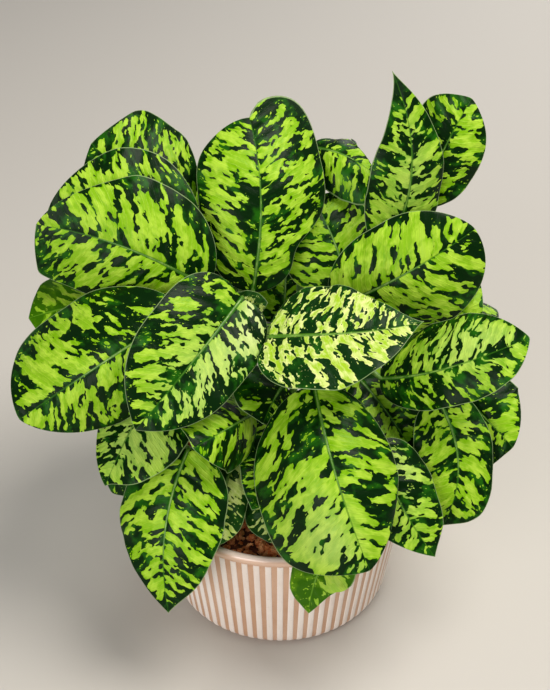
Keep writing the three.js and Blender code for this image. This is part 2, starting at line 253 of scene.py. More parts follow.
outlines = {
    "broad": dict(widest=0.54, full=3.6, end=0.75, base=0.57, point=0.3),
    "heart": dict(widest=0.36, full=3.0, end=0.8, base=0.4, point=0.3),
    "oval": dict(widest=0.46, full=3.2, end=0.95, base=0.46, point=0.3),
    "lance": dict(widest=0.4, full=2.0, end=0.95, base=0.45, point=0.3),
    "spear": dict(widest=0.42, full=1.7, end=1.1, base=0.45, point=0.5),
    "round": dict(widest=0.5, full=2.7, end=0.6, base=0.5, point=0),
    "blunt": dict(widest=0.66, full=2.8, end=0.7, base=0.62, point=0),
}

usualLeaf = dict(
    rise=0.12, fall=0.12, sway=0, skew=0, uneven=0, lean=0, lobes=(5, 5), waist=0, fold=0.1, cup=0.4,
    shoulder=(0, 0), look="lime", lime=0.0, grain=1.0, slant=1.0, fields=(),
)

leafForms = {
    "leaf_front_left": dict(
        outline="heart", start=(-24, -8, 244), tip=(-87, -78, 196), width=70, face=(0.28, -0.73, 0.63),
        skew=-0.1, fold=0.25, cup=0.2, foot=(-7, 0), bend=(-21, -14, 136), neck=(-12, 19, 193),
    ),
    "leaf_middle_cream": dict(
        outline="spear", start=(-7, -30, 230), tip=(86, -38, 247), width=72, face=(-0.2, -0.41, 0.89),
        skew=-0.04, sway=-0.1, rise=0.15, fall=0.06, lobes=(6, 12), fold=0.2, cup=0.2, foot=(25, -6),
        bend=(15, -13, 133), neck=(32, 0, 115),
    ),
    "leaf_front": dict(
        outline="broad", start=(21, -43, 202), tip=(54, -122, 122), width=89, face=(-0.04, -0.72, 0.69),
        skew=-0.15, lean=-13, sway=-0.04, rise=0.18, fall=0.17, cup=0.7, foot=(7, 2),
        bend=(22, -30, 171), neck=(9, -9, 133),
    ),
    "leaf_right": dict(
        outline="broad", start=(65, -12, 184), tip=(150, -42, 238), width=58, face=(-0.58, -0.54, 0.61),
        skew=0.2, sway=-0.11, rise=0.15, fall=0.17, foot=(18, 4), bend=(25, 15, 147), neck=(37, 10, 203),
    ),
    "leaf_left": dict(
        outline="broad", start=(-60, -22, 243), tip=(-163, -50, 181), width=81,
        face=(-0.09, -0.84, 0.53), skew=-0.1, lean=-12, rise=0.2, fall=0.09, cup=0.7, foot=(-17, -5),
        bend=(-35, -16, 153), neck=(-52, -17, 218),
    ),
    "leaf_right_upper": dict(
        outline="round", start=(35, 20, 218), tip=(123, 27, 273), width=78, face=(-0.18, -0.91, 0.36),
        skew=-0.1, uneven=-0.15, sway=-0.03, foot=(10, 8), bend=(22, 14, 148), neck=(15, 21, 125),
    ),
    "leaf_front_right_low": dict(
        outline="lance", start=(59, -57, 168), tip=(97, -98, 109), width=54, face=(0.13, -0.77, 0.62),
        lean=10, sway=-0.08, foot=(23, -21), bend=(40, -37, 140), neck=(45, -42, 147),
    ),
    "leaf_inner_small": dict(
        outline="heart", start=(2, -20, 185), tip=(-11, -51, 178), width=53, face=(0.52, -0.34, 0.79),
        lean=-6, sway=-0.07, foot=(0, 2), bend=(0, -3, 172), neck=(-4, 2, 144),
    ),
    "leaf_inner_left": dict(
        outline="broad", start=(-17, -33, 172), tip=(-53, -80, 183), width=50, face=(0.64, -0.33, 0.7),
        lean=-8, fold=0, cup=0.7, foot=(-6, -8), bend=(-4, -18, 125), neck=(-51, -19, 134),
    ),
    "leaf_left_low": dict(
        outline="lance", start=(-76, -21, 190), tip=(-110, -71, 144), width=71, face=(-0.36, -0.49, 0.8),
        uneven=-0.2, lean=12, sway=0.03, foot=(-22, 0), bend=(-50, -12, 155), neck=(-55, -10, 150),
    ),
    "leaf_front_left_low": dict(
        outline="lance", start=(-58, -55, 161), tip=(-71, -112, 73), width=70, face=(-0.25, -0.8, 0.55),
        lean=10, sway=-0.07, rise=0.14, lobes=(5, -14), foot=(-29, -8), bend=(-44, -27, 144),
        neck=(-53, -49, 150),
    ),
    "leaf_left_upper": dict(
        outline="round", start=(-47, 8, 242), tip=(-152, 19, 281), width=83, face=(0.04, -0.95, 0.32),
        skew=-0.05, uneven=0.3, lean=19, sway=-0.09, fall=0.07, foot=(-14, 1), bend=(-24, 4, 122),
        neck=(-39, 6, 201),
    ),
    "leaf_tall_middle": dict(
        outline="blunt", start=(-18, 22, 229), tip=(-20, 83, 323), width=84, face=(0.17, -0.83, 0.54),
        skew=-0.07, uneven=0.2, sway=-0.05, rise=0.16, fall=0.2, lobes=(7, 7), waist=0.33,
        shoulder=(28, 14), foot=(-3, 12), bend=(-7, 16, 122), neck=(-14, 19, 194),
    ),
    "leaf_right_low": dict(
        outline="oval", start=(101, -25, 178), tip=(105, -72, 111), width=51, face=(0.15, -0.81, 0.57),
        skew=-0.05, lean=12, sway=0.15, fall=0.16, cup=0.2, foot=(24, 1), bend=(39, 1, 126),
        neck=(112, 29, 148),
    ),
    "leaf_inner_narrow": dict(
        outline="heart", start=(-5, -9, 155), tip=(-18, -75, 127), width=37, face=(0.32, -0.42, 0.85),
        sway=0.05, foot=(-7, 7), bend=(-6, -4, 134), neck=(-8, 2, 118),
    ),
    "leaf_left_second": dict(
        outline="round", start=(-51, 30, 263), tip=(-147, 34, 282), width=96, face=(0.03, -0.95, 0.32),
        skew=-0.1, sway=0.06, foot=(-22, 10), bend=(-35, 25, 150), neck=(-38, -8, 180),
    ),
    "leaf_right_spear": dict(
        outline="spear", start=(71, 47, 246), tip=(69, 71, 360), width=49, face=(0.22, -0.97, 0.11),
        skew=0.1, uneven=-0.1, sway=-0.12, fall=0.16, fold=0.3, foot=(18, 20), bend=(-2, 20, 159),
        neck=(64, 35, 188),
    ),
    "leaf_curled": dict(
        outline="oval", start=(22, 100, 293), tip=(63, 78, 284), width=43, face=(-0.03, -0.43, 0.9),
        skew=-0.05, uneven=-0.2, lean=-21, sway=0.03, rise=0.16, fall=0.14, cup=0.7, foot=(4, 23),
        bend=(13, 53, 158), neck=(14, 86, 247),
    ),
    "leaf_right_edge": dict(
        outline="broad", start=(116, -2, 170), tip=(152, -35, 145), width=55, face=(-0.25, -0.73, 0.63),
        skew=0.05, lean=-11, foot=(39, 0), bend=(55, 0, 123), neck=(103, 0, 152),
    ),
    "leaf_right_shaded": dict(
        outline="broad", start=(48, 6, 176), tip=(93, -47, 134), width=58, face=(0.21, -0.49, 0.85),
        foot=(13, -2), bend=(38, 2, 150), neck=(39, 10, 157),
    ),
    "leaf_inner_pale": dict(
        outline="broad", start=(-28, -40, 143), tip=(-41, -87, 107), width=34, face=(-0.03, -0.6, 0.8),
        skew=-0.05, sway=-0.05, foot=(-12, -11), bend=(-21, -28, 129), neck=(-22, -28, 114),
    ),
    "leaf_front_hanging": dict(
        outline="lance", start=(41, -100, 134), tip=(18, -116, 77), width=43, face=(-0.54, -0.72, 0.42),
        lean=-12, sway=-0.07, fold=0.25, foot=(18, -27), bend=(19, -41, 119), neck=(50, -79, 123),
    ),
    "leaf_left_top": dict(
        outline="broad", start=(-58, 54, 273), tip=(-121, 68, 312), width=86, face=(0.13, -0.83, 0.55),
        uneven=-0.2, lean=-10, sway=0.08, rise=0.14, foot=(-14, 9), bend=(-26, 19, 122),
        neck=(-48, 47, 236),
    ),
    "leaf_right_top": dict(
        outline="broad", start=(92, 62, 271), tip=(123, 88, 334), width=52, face=(-0.07, -0.91, 0.41),
        lean=5, sway=0.04, foot=(24, 16), bend=(40, 27, 134), neck=(82, 51, 243),
    ),
    "leaf_middle_shaded": dict(
        outline="lance", start=(46, 42, 223), tip=(22, 81, 268), width=70, face=(0.08, -0.72, 0.68),
        lean=-16, foot=(17, 11), bend=(29, 22, 132), neck=(39, 44, 188),
    ),
    "leaf_right_under": dict(
        outline="lance", start=(98, 34, 222), tip=(131, 10, 211), width=52, face=(-0.25, -0.66, 0.71),
        foot=(23, 8), bend=(54, 15, 160), neck=(68, 30, 183),
    ),
    "leaf_soil_small": dict(
        outline="broad", start=(-9, -40, 129), tip=(-6, -83, 106), width=35, face=(-0.03, -0.47, 0.88),
        sway=0.05, foot=(-7, -19), bend=(-9, -39, 130), neck=(-9, -34, 114),
    ),
    "leaf_left_behind": dict(
        outline="oval", start=(-111, 23, 218), tip=(-163, 10, 216), width=64, face=(0.07, -0.43, 0.9),
        foot=(-31, 7), bend=(-60, 12, 154), neck=(-87, 19, 176),
    ),
    "leaf_left_lowest": dict(
        outline="heart", start=(-83, -34, 161), tip=(-111, -45, 114), width=43,
        face=(-0.47, -0.76, 0.46), foot=(-20, -32), bend=(-36, -35, 120), neck=(-67, -27, 148),
    ),
    "leaf_back_right_outer": dict(
        outline="oval", start=(78, 52, 190), tip=(156, 92, 168), width=70, face=(0.16, 0.21, 0.96),
        foot=(32, 9), bend=(44, 24, 130), neck=(72, 48, 172),
    ),
    "leaf_back_right": dict(
        outline="broad", start=(48, 74, 215), tip=(92, 150, 205), width=76, face=(0.05, 0.1, 0.99),
        foot=(14, 25), bend=(26, 36, 119), neck=(39, 60, 187),
    ),
    "leaf_back_middle": dict(
        outline="broad", start=(3, 76, 166), tip=(6, 150, 204), width=80, face=(0, -0.47, 0.88),
        foot=(-3, 22), bend=(0, 38, 120), neck=(2, 58, 128),
    ),
    "leaf_back_left": dict(
        outline="oval", start=(-38, 69, 208), tip=(-71, 154, 202), width=79, face=(-0.05, 0.07, 1),
        foot=(3, 16), bend=(-5, 33, 134), neck=(-28, 58, 166),
    ),
    "leaf_back_left_outer": dict(
        outline="broad", start=(-82, 58, 190), tip=(-152, 98, 165), width=72, face=(-0.21, 0.23, 0.95),
        foot=(-12, 25), bend=(-32, 37, 141), neck=(-76, 58, 176),
    ),
    "leaf_back_right_low": dict(
        outline="oval", start=(34, 60, 150), tip=(64, 124, 110), width=60, face=(0.23, 0.44, 0.87),
        foot=(3, 9), bend=(5, 27, 126), neck=(25, 47, 130),
    ),
    "leaf_back_left_low": dict(
        outline="lance", start=(-28, 64, 150), tip=(-52, 128, 106), width=62, face=(-0.17, 0.51, 0.84),
        foot=(-9, 18), bend=(-18, 35, 128), neck=(-15, 33, 102),
    ),
    "leaf_back_left_upper": dict(
        outline="broad", start=(-30, 72, 258), tip=(-80, 132, 256), width=70, face=(0.01, 0.04, 1),
        foot=(-17, 15), bend=(-32, 35, 147), neck=(-23, 66, 220),
    ),
    "leaf_back_right_upper": dict(
        outline="oval", start=(60, 88, 246), tip=(108, 146, 256), width=66, face=(-0.12, -0.07, 0.99),
        foot=(28, -14), bend=(38, 6, 142), neck=(50, 67, 216),
    ),
    "leaf_back_middle_low": dict(
        outline="broad", start=(-14, 80, 150), tip=(-10, 146, 118), width=72, face=(0, 0.44, 0.9),
        foot=(27, 28), bend=(20, 48, 134), neck=(12, 74, 146),
    ),
    "leaf_new_small": dict(
        outline="heart", start=(-34, 13, 222), tip=(-8, 9, 229), width=20, face=(-0.28, -0.7, 0.65),
        foot=(3, -19), bend=(-4, -15, 112), neck=(-27, -5, 166),
    ),
}

# how the blotches lie on single leaves: look names the colours, lime raises or lowers the share of
# lime all over, grain sizes the blotches, slant sets how far the veins lean forward, and each field
# is a place, as share along and side, its reach, and how much lime and cream it adds
leafPatterns = {
    "leaf_front_left": dict(lime=-0.02, grain=0.88, fields=(
        (0.06, 0.6, 0.2, 0.04, 1.0), (0.5, 0.5, 0.35, 0.02, 0.4))),
    "leaf_middle_cream": dict(look="cream", lime=0.045, grain=0.7, slant=0.8),
    "leaf_front": dict(lime=0.04, grain=1.2, fields=(
        (0.16, 0.5, 0.24, -0.13, 0), (0.55, 0.5, 0.19, 0.13, 0), (0.8, -0.4, 0.2, 0.08, 0.3),
        (0.4, -0.1, 0.1, -0.06, 0), (0.12, -0.3, 0.15, -0.04, 0))),
    "leaf_right": dict(lime=0.02, fields=((0.7, 0.3, 0.3, 0.03, 0.3),)),
    "leaf_left": dict(fields=(
        (0.62, -0.35, 0.22, 0.12, 0), (0.2, -0.6, 0.2, -0.06, 0), (0.6, 0.5, 0.2, 0.04, 0))),
    "leaf_right_upper": dict(lime=0.02, grain=1.1, fields=(
        (0.5, 0.45, 0.28, 0.1, 0), (0.78, -0.3, 0.2, 0.05, 0))),
    "leaf_front_right_low": dict(fields=((0.25, 0.4, 0.28, -0.12, 0.3), (0.65, -0.2, 0.3, 0.06, 0.1))),
    "leaf_inner_small": dict(lime=-0.14),
    "leaf_left_low": dict(lime=0.11, grain=0.85, fields=((0.5, 0, 0.5, 0, 0.3),)),
    "leaf_front_left_low": dict(grain=1.15, fields=((0.5, 0.45, 0.3, 0.08, 0), (0.7, -0.4, 0.2, 0.06, 0))),
    "leaf_left_upper": dict(grain=1.1, fields=((0.5, 0.45, 0.28, 0.1, 0), (0.6, -0.4, 0.26, 0.05, 0))),
    "leaf_tall_middle": dict(fields=((0.66, 0.4, 0.2, 0.09, 0), (0.5, -0.4, 0.25, 0.03, 0))),
    "leaf_inner_narrow": dict(lime=-0.17, grain=0.65),
    "leaf_right_spear": dict(lime=0.02, fields=((0.45, 0, 0.35, 0.05, 0.2),)),
    "leaf_right_shaded": dict(lime=-0.03),
    "leaf_inner_pale": dict(look="pale", lime=0.05, grain=0.8),
    "leaf_front_hanging": dict(look="green", lime=-0.6, fields=((0.6, 0.8, 0.4, 0.9, 0.1),)),
    "leaf_soil_small": dict(look="pale", lime=0.1, grain=0.8),
    "leaf_middle_shaded": dict(lime=-0.02),
    "leaf_left_behind": dict(look="green", lime=-0.08),
    "leaf_new_small": dict(look="pale", lime=-0.05, grain=0.6),
}


def unit(vectors):
    return vectors / np.linalg.norm(vectors, axis=-1, keepdims=True)


def bezier(controls, shares):
    # points and directions on a cubic curve
    a, b, c, d = (np.asarray(control, float) for control in controls)
    t = np.asarray(shares, float)[:, None]
    points = a * (1 - t) ** 3 + b * 3 * t * (1 - t) ** 2 + c * 3 * t ** 2 * (1 - t) + d * t ** 3
    slopes = (b - a) * (1 - t) ** 2 + (c - b) * 2 * t * (1 - t) + (d - c) * t ** 2
    return points, unit(slopes)


def spineAt(form, shares):
    # the midrib's points, with the directions along, across and out at each
    start, tip = np.array(form["start"], float), np.array(form["tip"], float)
    length = np.linalg.norm(tip - start)
    along = (tip - start) / length
    face = np.array(form["face"], float)
    face = unit(face - face.dot(along) * along)
    across = np.cross(face, along)
    shift = across * form["sway"] * length
    controls = (
        start,
        start + along * leafShape["bendReach"] * length + face * form["rise"] * length + shift,
        tip - along * leafShape["bendReach"] * length + face * form["fall"] * length + shift,
        tip,
    )
    points, forward = bezier(controls, shares)
    sideways = unit(np.cross(face, forward))
    return points, forward, sideways, np.cross(forward, sideways), length


def widthAt(outline, shares):
    shape = outlines[outline]
    widest = shape["widest"]
    before = np.clip((widest - shares) / widest, 0, 1)
    past = np.clip((shares - widest) / (1 - widest), 0, 1)
    opening = np.maximum(1 - before ** 3, 0) ** shape["base"]
    closing = np.maximum(1 - past ** shape["full"], 0) ** shape["end"] * (1 - shape["point"] * past ** 8)
    return np.where(shares < widest, opening, closing)


def bell(values, middle, reach):
    return np.exp(-(((values - middle) / reach) ** 2))


def bladeSheet(form, shares, sides, phase):
    # the blade's middle surface with its outward directions, and where each point lies on the flat leaf
    shape = leafShape
    centre, forward, sideways, out, length = spineAt(form, shares)
    half = form["width"] / 2
    t, side = np.meshgrid(shares, sides, indexing="ij")
    width = np.maximum(widthAt(form["outline"], t), shape["leastWidth"])
    sign = np.sign(side)
    shoulder = np.where(side < 0, bell(t, *shape["shoulder"]) * width ** 0.35 * abs(side) ** 3, 0)
    pinch = np.where(side < 0, 1 - form["waist"] * bell(t, *shape["waist"]), 1)
    spread = side * width ** (1 - form["uneven"] * sign) * half * (1 + form["skew"] * sign) * pinch
    away = spread - shoulder * form["shoulder"][1]
    second = side > 0
    wave = np.sin(wholeTurn * (shape["marginWaves"] * t + phase + shape["waveShift"] * second))
    ruffle = np.sin(wholeTurn * (shape["ruffles"] * t + 3 * phase + shape["ruffleShift"] * second))
    height = form["fold"] * abs(away) - form["cup"] * away ** 2 / half
    height += shape["marginWave"] * side ** 2 * wave * width
    height += shape["ruffle"] * side ** 4 * ruffle * width
    ahead = form["lean"] * side * abs(side) * width * bell(t, *shape["lean"])
    lobe = np.where(side < 0, form["lobes"][1], form["lobes"][0])
    ahead += shoulder * form["shoulder"][0] - lobe * side ** 2 * width * np.exp(-t / shape["lobeReach"])
    flatAlong = t * length + ahead
    baseSlope, slopeGain = shape["veinSlope"]
    trail = abs(away) * (baseSlope + slopeGain * t) + shape["veinCurve"] * away ** 2
    vein = flatAlong - trail * form["slant"]
    swell = np.cos(wholeTurn * vein / shape["veinSpacing"])
    # the puckers fade out at the margin, at the midrib and at both ends
    calm = np.clip(1 - side ** 4, 0, 1) * np.clip(abs(side) * 6, 0, 1) * np.clip(width * 1.5, 0, 1)
    height += shape["veinRelief"] * swell * calm
    points = centre[:, None] + sideways[:, None] * away[..., None] + out[:, None] * height[..., None]
    points = points + forward[:, None] * ahead[..., None]
    rim = np.minimum((1 - abs(side)) * width * half, (1 - t) * length)
    flat = {"leafAlong": flatAlong, "leafAcross": away, "leafVein": vein, "leafRim": rim, "leafShare": t}
    return points, np.broadcast_to(out[:, None], points.shape), flat


def shellFaces(rows, columns):
    # a closed shell of two grids, one above the other, and the strip round their edge
    count = rows * columns
    grid = np.arange(count).reshape(rows, columns)
    a, b, c, d = grid[:-1, :-1], grid[1:, :-1], grid[1:, 1:], grid[:-1, 1:]
    top = np.stack([a, b, c, d], -1).reshape(-1, 4)
    bottom = np.stack([a, d, c, b], -1).reshape(-1, 4) + count
    loop = np.concatenate([grid[:-1, 0], grid[-1, :-1], grid[:0:-1, -1], grid[0, :0:-1]])
    after = np.roll(loop, -1)
    edge = np.stack([loop, loop + count, after + count, after], -1)
    return top, bottom, edge


def tube(points, radii, sideCount, flatten=1.0):
    # a closed round rod along a row of points
    along = unit(np.gradient(points, axis=0))
    side = np.array((1.0, 0.0, 0.0))
    rings = []
    for point, direction, radius in zip(points, along, radii):
        side = unit(side - side.dot(direction) * direction)
        other = np.cross(direction, side)
        turns = np.linspace(0, wholeTurn, sideCount, endpoint=False)[:, None]
        rings.append(point + radius * (np.cos(turns) * side + flatten * np.sin(turns) * other))
    vertices = np.concatenate([points[:1], *rings, points[-1:]])
    faces = []
    for place in range(sideCount):
        following = (place + 1) % sideCount
        faces.append((0, 1 + following, 1 + place))
        for ring in range(len(rings) - 1):
            low, high = 1 + ring * sideCount, 1 + (ring + 1) * sideCount
            faces.append((low + place, low + following, high + following, high + place))
        last = 1 + (len(rings) - 1) * sideCount
        faces.append((last + place, last + following, len(vertices) - 1))
    return vertices, faces


def stalkLine(form):
    # the stalk's points and radii from the soil to the blade, and on along the rib under the midrib
    shape = leafShape
    foot = (*form["foot"], shape["footLevel"])
    shares = np.linspace(0, 1, shape["stalkSteps"] + 1)
    points, _ = bezier((foot, form["bend"], form["neck"], form["start"]), shares)
    radii = shape["stalkRadius"] + (shape["neckRadius"] - shape["stalkRadius"]) * shares
    ribShares = np.linspace(*shape["ribRun"])
    ribPoints, _, _, out, _ = spineAt(form, ribShares)
    ribRadii = shape["neckRadius"] * (1 - ribShares / shape["ribRun"][1]) ** 0.8 + shape["ribTipRadius"]
    depth = ribRadii * 0.85 + 0.15       # the rib is sunk a little into the underside
    return np.concatenate([points, ribPoints - out * depth[:, None]]), np.concatenate([radii, ribRadii])


def leafGrid(form):
    # the shares along and the places across where the blade has its rows and columns
    length = np.linalg.norm(np.array(form["tip"]) - np.array(form["start"]))
    even = np.linspace(0, 1, int(length / leafShape["rowStep"]))
    shares = 0.4 * (1 - np.cos(math.pi * even)) + 0.2 * even     # rows lie closer at both ends
    half = np.array([*leafShape["midribLines"], *np.linspace(*leafShape["outerLines"]), 1])
    return shares, np.concatenate([-half[:0:-1], half])


def patternValues(form, shares, sides, index):
    # at each point, how much lime and cream the leaf's own values add, with its seed and its scale
    lime = np.full(shares.shape, float(form["lime"]))
    cream = np.zeros(shares.shape)
    for share, side, reach, limeThere, creamThere in form["fields"]:
        distance = ((shares - share) ** 2 + (sides[None, :] - side) ** 2 / 4) ** 0.5
        lime += limeThere * bell(distance, 0, reach)
        cream += creamThere * bell(distance, 0, reach)
    seed = np.full(shares.shape, leafFinish["seedStep"] * (index + 1))
    scale = np.full(shares.shape, 1 / form["grain"])
    return {"leafLime": lime, "leafCream": cream, "leafSeed": seed, "leafScale": scale}


def leafPiece(node, form, index):
    shape = leafShape
    shares, sides = leafGrid(form)
    points, out, flat = bladeSheet(form, shares, sides, shape["phaseStep"] * index)
    grooveAcross = shape["grooveDepth"] * bell(sides, 0, shape["grooveReach"])
    groove = (grooveAcross[None, :] * (1 - shares ** 2)[:, None])[..., None]
    rounded = np.where(abs(sides) == 1, shape["marginShare"], 1.0)[None, :, None]
    lift = shape["thickness"] / 2 * rounded
    top = points + out * (lift - groove)
    bottom = points - out * (lift + shape["ridgeShare"] * groove)
    # material 0 is the upper side, 1 the underside with the rim, and 2 the stalk
    topFaces, bottomFaces, edgeFaces = shellFaces(len(shares), len(sides))
    stalk, stalkFaces = tube(*stalkLine(form), shape["stalkSides"])
    bladeCount = 2 * points.shape[0] * points.shape[1]
    vertices = np.concatenate([top.reshape(-1, 3), bottom.reshape(-1, 3), stalk]) * mm
    faces = [*topFaces.tolist(), *bottomFaces.tolist(), *edgeFaces.tolist()]
    faces += [tuple(corner + bladeCount for corner in face) for face in stalkFaces]
    kinds = [0] * len(topFaces) + [1] * (len(bottomFaces) + len(edgeFaces)) + [2] * len(stalkFaces)
    materials = [*leafMaterials(form["look"]), stalkMaterial]
    piece = meshPiece(node.replace("leaf", "blade"), vertices, faces, materials, kinds)
    values = {**flat, **patternValues(form, flat["leafShare"], sides, index)}
    for name, value in values.items():
        both = np.concatenate([value.ravel(), value.ravel(), np.zeros(len(stalk))])
        giveAttribute(piece, name, both)
    slotName = "leaf_cream" if node.endswith("cream") else "leaf"
    return dress(piece, slotName, node)


leafLooks = {
    "lime": dict(light="#78B002", pale="#B8DE44", dark="#062405", mid="#1F5C0A", rib="#357010"),
    "cream": dict(light="#A4CC2A", pale="#ECF4A0", dark="#0C300A", mid="#1F5810", rib="#5A8E26"),
    "pale": dict(light="#A2BC50", pale="#CEDC8A", dark="#163C0E", mid="#26581A", rib="#55802C"),
    "green": dict(light="#86BA1E", pale="#B0D040", dark="#366800", mid="#5C8E06", rib="#6FA428"),
}

leafFinish = {
    "coarse": (9.0, 20.0),       # millimetres across and along the veins
    "fine": (3.4, 7.0),
    "teeth": (1.9, 3.0),
    "speck": (1.4, 2.1),
    "mottle": (5.0, 8.0),
    "cloud": 14.0,               # broad patches of light and shade
    "streak": 3.1,
    "warp": 9.0,                 # how far the blotches stray from the veins
    "weights": (1.45, 0.8, 0.42),        # of coarse, fine and teeth in the blotches
    "limeBias": 0.015,
    "limeEdge": (-0.008, 0.012),         # lime lies where the field is above nought
    "fleckEdge": (0.19, 0.215),
    "rimShade": 0.26,            # how much less lime the margin has
    "rimReach": (0.5, 7.0),
    "ribShade": 0.1,
    "ribReach": (0.8, 4.0),
    "marginHighlightWidth": 0.48,
    "ribWidth": 1.3,
    "roughness": 0.27,
    "halfStep": 7.7,             # sets the pattern of one half apart from the other's
    "seedStep": 17.3,            # and that of each leaf from the next one's
    "relief": (0.5, 0.0009),     # the bump's strength, and its depth in metres
    # the colour of the painted highlight that runs as a pale line along the margin
    "edge": "#A2BC80",
    "cream": "#D9E4A0",
    "underside": "#86B25C",
}


def leafSurface(look, underside):
    colours = {part: paint(code) for part, code in leafLooks[look].items()}
    finish = leafFinish

    def describe(graph):
        along, across = graph.attribute("leafAlong"), graph.attribute("leafAcross")
        vein, rim = graph.attribute("leafVein"), graph.attribute("leafRim")
        share, seed = graph.attribute("leafShare"), graph.attribute("leafSeed")
        scale = graph.attribute("leafScale")
        away = abs(across)
        halfSeed = graph.ease(across, -0.01, 0.01) * finish["halfStep"] + seed
        spot = graph.vector(along / finish["cloud"], across / finish["cloud"], seed)
        cloud = graph.noise(spot, detail=3.0, roughness=0.6)
        bent = vein + (cloud - 0.5) * finish["warp"]

        def grain(name, offset, detail, roughness=0.5):
            acrossVeins, alongVeins = finish[name]
            place = graph.vector(bent * scale / acrossVeins, away * scale / alongVeins, halfSeed + offset)
            return graph.noise(place, detail=detail, roughness=roughness) - 0.5

        coarse, fine, teeth = grain("coarse", 0, 1.0), grain("fine", 31, 0.0), grain("teeth", 57, 0.0)
        speck = grain("speck", 83, 1.0)
        coarseWeight, fineWeight, teethWeight = finish["weights"]
        field = coarse * coarseWeight + fine * fineWeight + teeth * teethWeight
        field = field + graph.attribute("leafLime") + finish["limeBias"]
        field = field - (1 - graph.ease(rim, *finish["rimReach"])) * finish["rimShade"]
        field = field - (1 - graph.ease(away, *finish["ribReach"])) * finish["ribShade"]
        lime = graph.ease(field, *finish["limeEdge"])
        flecks = graph.ease(speck + fine * 0.3, *finish["fleckEdge"])
        lime = lime.atLeast(flecks * graph.ease(rim, 0.8, 1.8))
        streak = graph.ease(abs((vein / finish["streak"] + fine * 0.8).fraction() - 0.5), 0.36, 0.5)
        inner = graph.ease(field, 0.02, 0.2)
        if look == "cream":
            inner = (1 - inner) * 1.5
        mottle = graph.ease(grain("mottle", 11, 2.0, 0.6), -0.12, 0.14)
        light = graph.mix(mottle * 0.6 + streak * 0.25 + inner * 0.2, colours["light"], colours["pale"])
        light = graph.mix(graph.attribute("leafCream").atMost(1.0) * 0.8, light, paint(finish["cream"]))
        deep = graph.mix(graph.ease(cloud + fine * 0.4, 0.45, 0.7), colours["dark"], colours["mid"])
        colour = graph.mix(lime, deep, light)
        # the pale rib narrows towards the tip, and a painted highlight runs as a pale line along the
        # margin
        rib = 1 - graph.ease(away / (1.15 - share), finish["ribWidth"] * 0.6, finish["ribWidth"] * 1.2)
        colour = graph.mix(rib * (1 - share * 0.6), colour, colours["rib"])
        edge = 1 - graph.ease(rim, finish["marginHighlightWidth"] * 0.5, finish["marginHighlightWidth"])
        colour = graph.mix(edge * 0.7, colour, paint(finish["edge"]))
        if underside:
            colour = graph.mix(0.5, colour, paint(finish["underside"]))
        relief = (streak * 0.35 + mottle * 0.5) * (lime * 0.8 + 0.2) + cloud * 0.8
        return {
            "Base Color": colour,
            "Roughness": finish["roughness"] + cloud * 0.12 + (0.2 if underside else 0.0),
            "Specular IOR Level": 0.09,
            "Normal": graph.bump(relief, *finish["relief"]),
        }

    return describe


madeLeafMaterials = {}


def leafMaterials(look):
    if look not in madeLeafMaterials:
        madeLeafMaterials[look] = (
            material(f"leaf_{look}_upper", leafSurface(look, False)),
            material(f"leaf_{look}_under", leafSurface(look, True)),
        )
    return madeLeafMaterials[look]


stalkLook = {"greens": ("#4F7E23", "#84A94A"), "streak": "#2E5A16"}


def stalkSurface(graph):
    place = graph.spot()
    mottle = graph.noise(place, scale=140.0, detail=3.0, roughness=0.6)
    mapping = graph.node("ShaderNodeMapping", sockets={"Vector": place, "Scale": (1, 1, 0.15)})
    streaks = graph.noise(mapping, scale=900.0, detail=2.0, roughness=0.5)
    colour = graph.between(graph.ease(mottle, 0.4, 0.65), stalkLook["greens"])
    colour = graph.mix(graph.ease(streaks, 0.5, 0.7) * 0.4, colour, paint(stalkLook["streak"]))
    return {"Base Color": colour, "Roughness": 0.4, "Normal": graph.bump(streaks, 0.3, 0.0003)}


stalkMaterial = material("stalk_green", stalkSurface)

for index, (node, own) in enumerate(leafForms.items()):
    leafPiece(node, {**usualLeaf, **own, **leafPatterns.get(node, {})}, index)
print("leaves:", len(leafForms))


# the pot: a turned body with raised stripes of pale slip

potDesign = {
    "height": 96.0,
    "rimRadius": 90.0,
    "footRadius": 79.0,
    "footRound": 12.0,
    "footSteps": 10,
    "wall": 5.0,
    "floor": 6.0,
    "floorRings": (30, 55),
    "floorSteps": 8,             # of the round between the floor and the wall
    "lip": 3.0,
    "lipArc": (-20, 200, 22),    # degrees from and to, and steps
    "wallSteps": 16,
    "sides": 240,
    "stripes": 72,
    "stripeTop": 90.6,
    "stripeBottom": 3.0,
    "stripeWidth": 4.1,
    "stripeRise": 0.4,
    "stripeSteps": 30,
    "stripeSides": 14,
    "stripeEnds": (0.03, 0.02),  # how much of its length a stripe takes to taper, at foot and top
    "stripeNarrowing": 0.1,
    "clay": ("#C79B7C", "#D6AE92"),
    "clayGrain": "#B58768",
    "glaze": "#E2BCA2",
    "glazeEdge": (90.5, 92.0),   # the heights between which the lip's glaze begins
    # a painted highlight along the crest of the lip, and the heights between which it begins
    "lipHighlight": "#FAEDE4",
    "lipHighlightEdges": (94.2, 95.8),
    "slip": ("#F2E4DA", "#FAF0E8"),
    "slipGrain": "#CDB8A6",
}


def arc(centre, radius, start, end, steps):
    turns = np.radians(np.linspace(start, end, steps + 1))
    return [(centre[0] + radius * math.cos(turn), centre[1] + radius * math.sin(turn)) for turn in turns]


def lipPoints():
    shape = potDesign
    middle = (shape["rimRadius"] - shape["lip"], shape["height"] - shape["lip"])
    return arc(middle, shape["lip"], *shape["lipArc"])


def wallPoints(steps):
    # the outer wall's line from the foot's round to the lip
    low, high = (potDesign["footRadius"], potDesign["footRound"]), lipPoints()[0]
    return [(low[0] + (high[0] - low[0]) * share, low[1] + (high[1] - low[1]) * share)
            for share in np.linspace(0, 1, steps + 1)]


